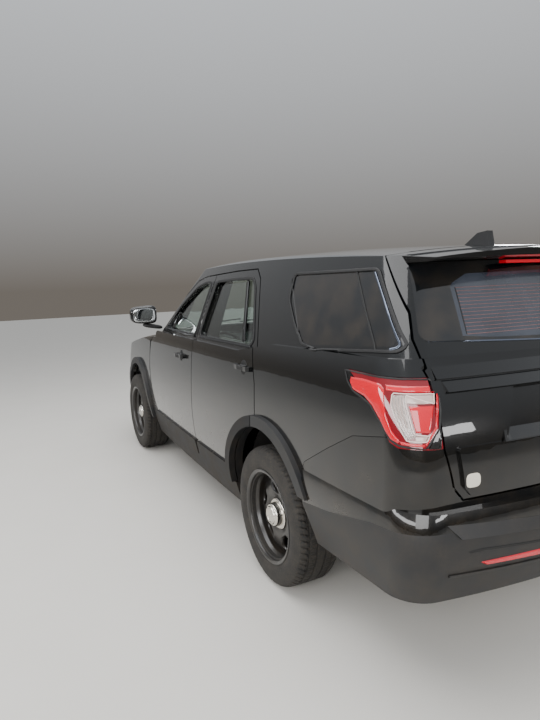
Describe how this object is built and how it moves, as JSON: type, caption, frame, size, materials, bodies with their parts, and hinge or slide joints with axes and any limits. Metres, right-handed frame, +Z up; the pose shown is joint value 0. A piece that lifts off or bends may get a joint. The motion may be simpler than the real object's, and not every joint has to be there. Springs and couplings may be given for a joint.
{
  "type": "police sport utility vehicle",
  "caption": "Black three-row sport utility vehicle with side-hinged doors, a lifting tailgate and hood, steel wheels and linked steering.",
  "frame": {"origin": "on the ground under the middle of the vehicle's length and width", "axes": "+X forward, +Y to the vehicle's left, +Z up"},
  "size_m": [5.037, 2.27, 1.7759],
  "materials": {
    "body_paint": "gloss black",
    "wheel_paint": "satin black",
    "moulding": "grained",
    "undercoat": "matt",
    "cast_metal": "rough",
    "exhaust_steel": "dull",
    "window_clear": "polished",
    "window_dark": "polished",
    "lamp_red": "polished",
    "lamp_clear": "polished",
    "trim_plastic": "grained",
    "seat_cloth": "woven",
    "tyre": "matt"
  },
  "bodies": {
    "body": {"floor_pan": "body_paint", "body_side_left": "body_paint", "body_side_right": "body_paint", "roof_panel": "body_paint", "cowl": "moulding", "firewall": "undercoat", "front_wings": "body_paint", "front_bumper": "body_paint", "grille": "moulding", "headlamps": "lamp_clear", "rear_bumper": "body_paint", "rear_valance": "moulding", "tail_lamps": "lamp_red", "windshield": "window_clear", "quarter_windows": "window_dark", "wheel_liners": "moulding", "engine": "cast_metal", "front_frame": "undercoat", "front_suspension": "undercoat", "rear_suspension": "undercoat", "exhaust": "exhaust_steel", "dashboard": "trim_plastic", "front_seats": "seat_cloth", "rear_seat": "seat_cloth", "antenna": "moulding", "front_arch_mouldings": "moulding", "rear_arch_mouldings": "moulding"},
    "hood": {"hood": "body_paint"},
    "liftgate": {"liftgate": "body_paint", "liftgate_glass": "window_dark", "high_brake_lamp": "lamp_red"},
    "door_front_left": {"door_front_left": "body_paint", "door_glass_front_left": "window_clear", "mirror_left": "body_paint"},
    "door_front_right": {"door_front_right": "body_paint", "door_glass_front_right": "window_clear", "mirror_right": "body_paint"},
    "door_rear_left": {"door_rear_left": "body_paint", "door_glass_rear_left": "window_clear"},
    "door_rear_right": {"door_rear_right": "body_paint", "door_glass_rear_right": "window_clear"},
    "steering_wheel": {"steering_wheel": "trim_plastic"},
    "knuckle_left": {"knuckle_left": "undercoat"},
    "knuckle_right": {"knuckle_right": "undercoat"},
    "wheel_front_left": {"rim_front_left": "wheel_paint", "tyre_front_left": "tyre"},
    "wheel_front_right": {"rim_front_right": "wheel_paint", "tyre_front_right": "tyre"},
    "wheel_rear_left": {"rim_rear_left": "wheel_paint", "tyre_rear_left": "tyre"},
    "wheel_rear_right": {"rim_rear_right": "wheel_paint", "tyre_rear_right": "tyre"}
  },
  "joints": [
    {"name": "door_front_left_swing", "type": "hinge", "parent": "body", "child": "door_front_left", "pos_m": [0.985, 0.962, 0.75], "axis": [0, 0, -1], "range_deg": [0, 65]},
    {"name": "door_rear_left_swing", "type": "hinge", "parent": "body", "child": "door_rear_left", "pos_m": [-0.235, 0.962, 0.75], "axis": [0, 0, -1], "range_deg": [0, 65]},
    {"name": "door_front_right_swing", "type": "hinge", "parent": "body", "child": "door_front_right", "pos_m": [0.985, -0.962, 0.75], "axis": [0, 0, 1], "range_deg": [0, 65]},
    {"name": "door_rear_right_swing", "type": "hinge", "parent": "body", "child": "door_rear_right", "pos_m": [-0.235, -0.962, 0.75], "axis": [0, 0, 1], "range_deg": [0, 65]},
    {"name": "liftgate_lift", "type": "hinge", "parent": "body", "child": "liftgate", "pos_m": [-1.975, 0, 1.692], "axis": [0, 1, 0], "range_deg": [0, 80]},
    {"name": "hood_lift", "type": "hinge", "parent": "body", "child": "hood", "pos_m": [0.9, 0, 1.195], "axis": [0, -1, 0], "range_deg": [0, 50]},
    {"name": "steering_turn", "type": "hinge", "parent": "body", "child": "steering_wheel", "pos_m": [0.62, 0.38, 0.985], "axis": [-0.9063, 0, 0.4226], "range_deg": [-480, 480]},
    {"name": "steer_left", "type": "hinge", "parent": "body", "child": "knuckle_left", "pos_m": [1.5635, 0.775, 0.225], "axis": [-0.0209, -0.188, 0.9819], "range_deg": [-32, 32]},
    {"name": "steer_right", "type": "hinge", "parent": "body", "child": "knuckle_right", "pos_m": [1.5635, -0.775, 0.225], "axis": [-0.0209, 0.188, 0.9819], "range_deg": [-32, 32]},
    {"name": "wheel_front_left_spin", "type": "hinge", "parent": "knuckle_left", "child": "wheel_front_left", "pos_m": [1.5635, 0.851, 0.3635], "axis": [0, 1, 0], "continuous": true},
    {"name": "wheel_front_right_spin", "type": "hinge", "parent": "knuckle_right", "child": "wheel_front_right", "pos_m": [1.5635, -0.851, 0.3635], "axis": [0, 1, 0], "continuous": true},
    {"name": "wheel_rear_left_spin", "type": "hinge", "parent": "body", "child": "wheel_rear_left", "pos_m": [-1.2965, 0.851, 0.3635], "axis": [0, 1, 0], "continuous": true},
    {"name": "wheel_rear_right_spin", "type": "hinge", "parent": "body", "child": "wheel_rear_right", "pos_m": [-1.2965, -0.851, 0.3635], "axis": [0, 1, 0], "continuous": true}
  ],
  "couplings": [
    {"joint": "steer_left", "follows": "steering_turn", "ratio": 0.066667},
    {"joint": "steer_right", "follows": "steering_turn", "ratio": 0.066667}
  ]
}
